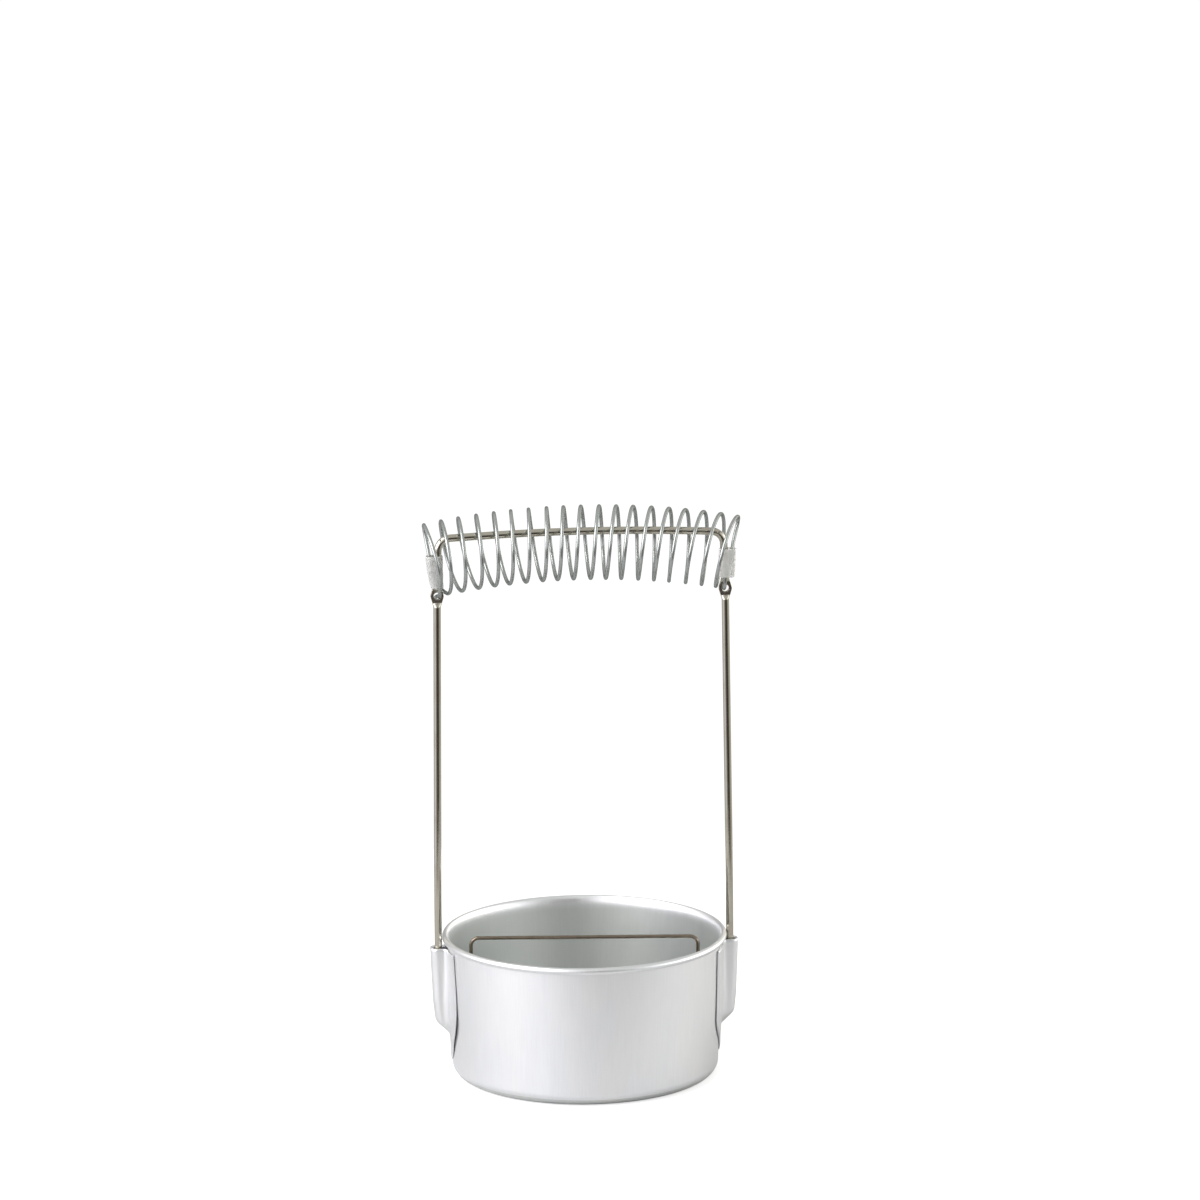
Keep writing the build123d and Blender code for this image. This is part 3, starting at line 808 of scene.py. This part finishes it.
def wmath(op, a, b=None, clamp=False):
    node = wnode("ShaderNodeMath", operation=op)
    node.use_clamp = clamp
    for k, v in enumerate((a, b)):
        if v is None:
            continue
        if isinstance(v, (int, float)):
            node.inputs[k].default_value = v
        else:
            wt.links.new(v, node.inputs[k])
    return node.outputs[0]


def wmix(fac, a, b):
    mix = wnode("ShaderNodeMix", data_type="RGBA")
    for sock, v in ((mix.inputs[0], fac), (mix.inputs[6], a), (mix.inputs[7], b)):
        if isinstance(v, tuple):
            sock.default_value = (*v, 1)
        else:
            wt.links.new(v, sock)
    return mix.outputs[2]


def step_of(value, a, b):
    rng = wnode("ShaderNodeMapRange", interpolation_type="SMOOTHSTEP")
    rng.inputs["From Min"].default_value, rng.inputs["From Max"].default_value = a, b
    wt.links.new(value, rng.inputs["Value"])
    return rng.outputs["Result"]


def round_the_room(name, stops):
    """Colour by compass direction, one stop each 30 degrees from the back, by way of
    the left, the front (stop 6) and the right, to the back again."""
    ramp = wnode("ShaderNodeValToRGB")
    ramp.name = name
    wt.links.new(turn, ramp.inputs["Fac"])
    ramp.color_ramp.interpolation = "LINEAR"
    elements = ramp.color_ramp.elements
    while len(elements) < len(stops):
        elements.new(0.5)
    for k, colour in enumerate(stops):
        elements[k].position = k / (len(stops) - 1)
        elements[k].color = (*colour, 1)
    return ramp.outputs["Color"]


split = wnode("ShaderNodeSeparateXYZ")
wt.links.new(w_coord.outputs["Generated"], split.inputs[0])
sx, sy, sz = split.outputs
turn = wmath("ADD", wmath("DIVIDE", wmath("ARCTAN2", sx, wmath("MULTIPLY", sy, -1.0)), 2 * math.pi), 0.5)
LOW = [
    (0.46, 0.46, 0.45), (0.46, 0.46, 0.46), (0.60, 0.60, 0.60), (0.86, 0.87, 0.98), (0.95, 0.94, 0.96), (0.24, 0.24, 0.245),
    (0.058, 0.042, 0.035), (0.055, 0.050, 0.045), (0.38, 0.375, 0.34), (0.74, 0.73, 0.67), (0.64, 0.63, 0.57), (0.50, 0.50, 0.47),
    (0.46, 0.46, 0.45),
]
MID = [
    (0.36, 0.36, 0.34), (0.36, 0.36, 0.35), (0.95, 0.93, 0.92), (2.60, 2.54, 2.70), (3.40, 3.33, 3.52), (2.05, 2.00, 2.04),
    (0.06, 0.055, 0.05), (0.48, 0.48, 0.48), (1.65, 1.66, 1.66), (2.85, 2.80, 2.64), (2.40, 2.32, 2.15), (0.85, 0.84, 0.78),
    (0.36, 0.36, 0.34),
]
HIGH = (0.64, 0.64, 0.63)
low, mid = round_the_room("low", LOW), round_the_room("mid", MID)
sky = wmix(step_of(sz, -0.12, 0.06), low, mid)
sky = wmix(step_of(sz, 0.25, 0.6), sky, HIGH)
path = wnode("ShaderNodeLightPath")
wt.links.new(wmix(path.outputs["Is Camera Ray"], sky, (1.05, 1.05, 1.05)), w_bg.inputs["Color"])
w_bg.inputs["Strength"].default_value = 1.0


def area(name, location, target, width, height, power, colour=(1, 1, 1)):
    data = bpy.data.lights.new(name, "AREA")
    data.shape = "RECTANGLE"
    data.size, data.size_y = width, height
    data.energy = power
    data.color = colour
    obj = bpy.data.objects.new(name, data)
    scene.collection.objects.link(obj)
    obj.location = location
    obj.rotation_mode = "QUATERNION"
    obj.rotation_quaternion = (Vector(target) - Vector(location)).to_track_quat("-Z", "Y")
    obj.visible_camera = False
    return obj


area("softbox_left", (-1.15, -0.45, 1.15), (0, 0, 0), 1.2, 1.2, 17.5)

# ---------------------------------------------------------------------- camera
AZ, EL, ROLL_CAM = math.radians(-5.5), math.radians(12.29), math.radians(0.45)
target = Vector((7.36, 0.0, 192.98)) * MM
back = Vector((math.sin(AZ) * math.cos(EL), -math.cos(AZ) * math.cos(EL), math.sin(EL)))
right = (-back).cross(Vector((0, 0, 1))).normalized()
up = right.cross(-back)
cam_x = right * math.cos(ROLL_CAM) - up * math.sin(ROLL_CAM)
cam_y = right * math.sin(ROLL_CAM) + up * math.cos(ROLL_CAM)
cam_data = bpy.data.cameras.new("camera")
cam_data.sensor_width = 36.0
cam_data.lens = 2.5246 * 2500 / 1200 * 36.0
cam_data.clip_start, cam_data.clip_end = 0.05, 100
camera = bpy.data.objects.new("camera", cam_data)
scene.collection.objects.link(camera)
camera.matrix_world = Matrix.Translation(target + back * 2.5) @ Matrix((cam_x, cam_y, back)).transposed().to_4x4()
scene.camera = camera

scene.view_settings.view_transform = "Standard"
scene.view_settings.look = "None"
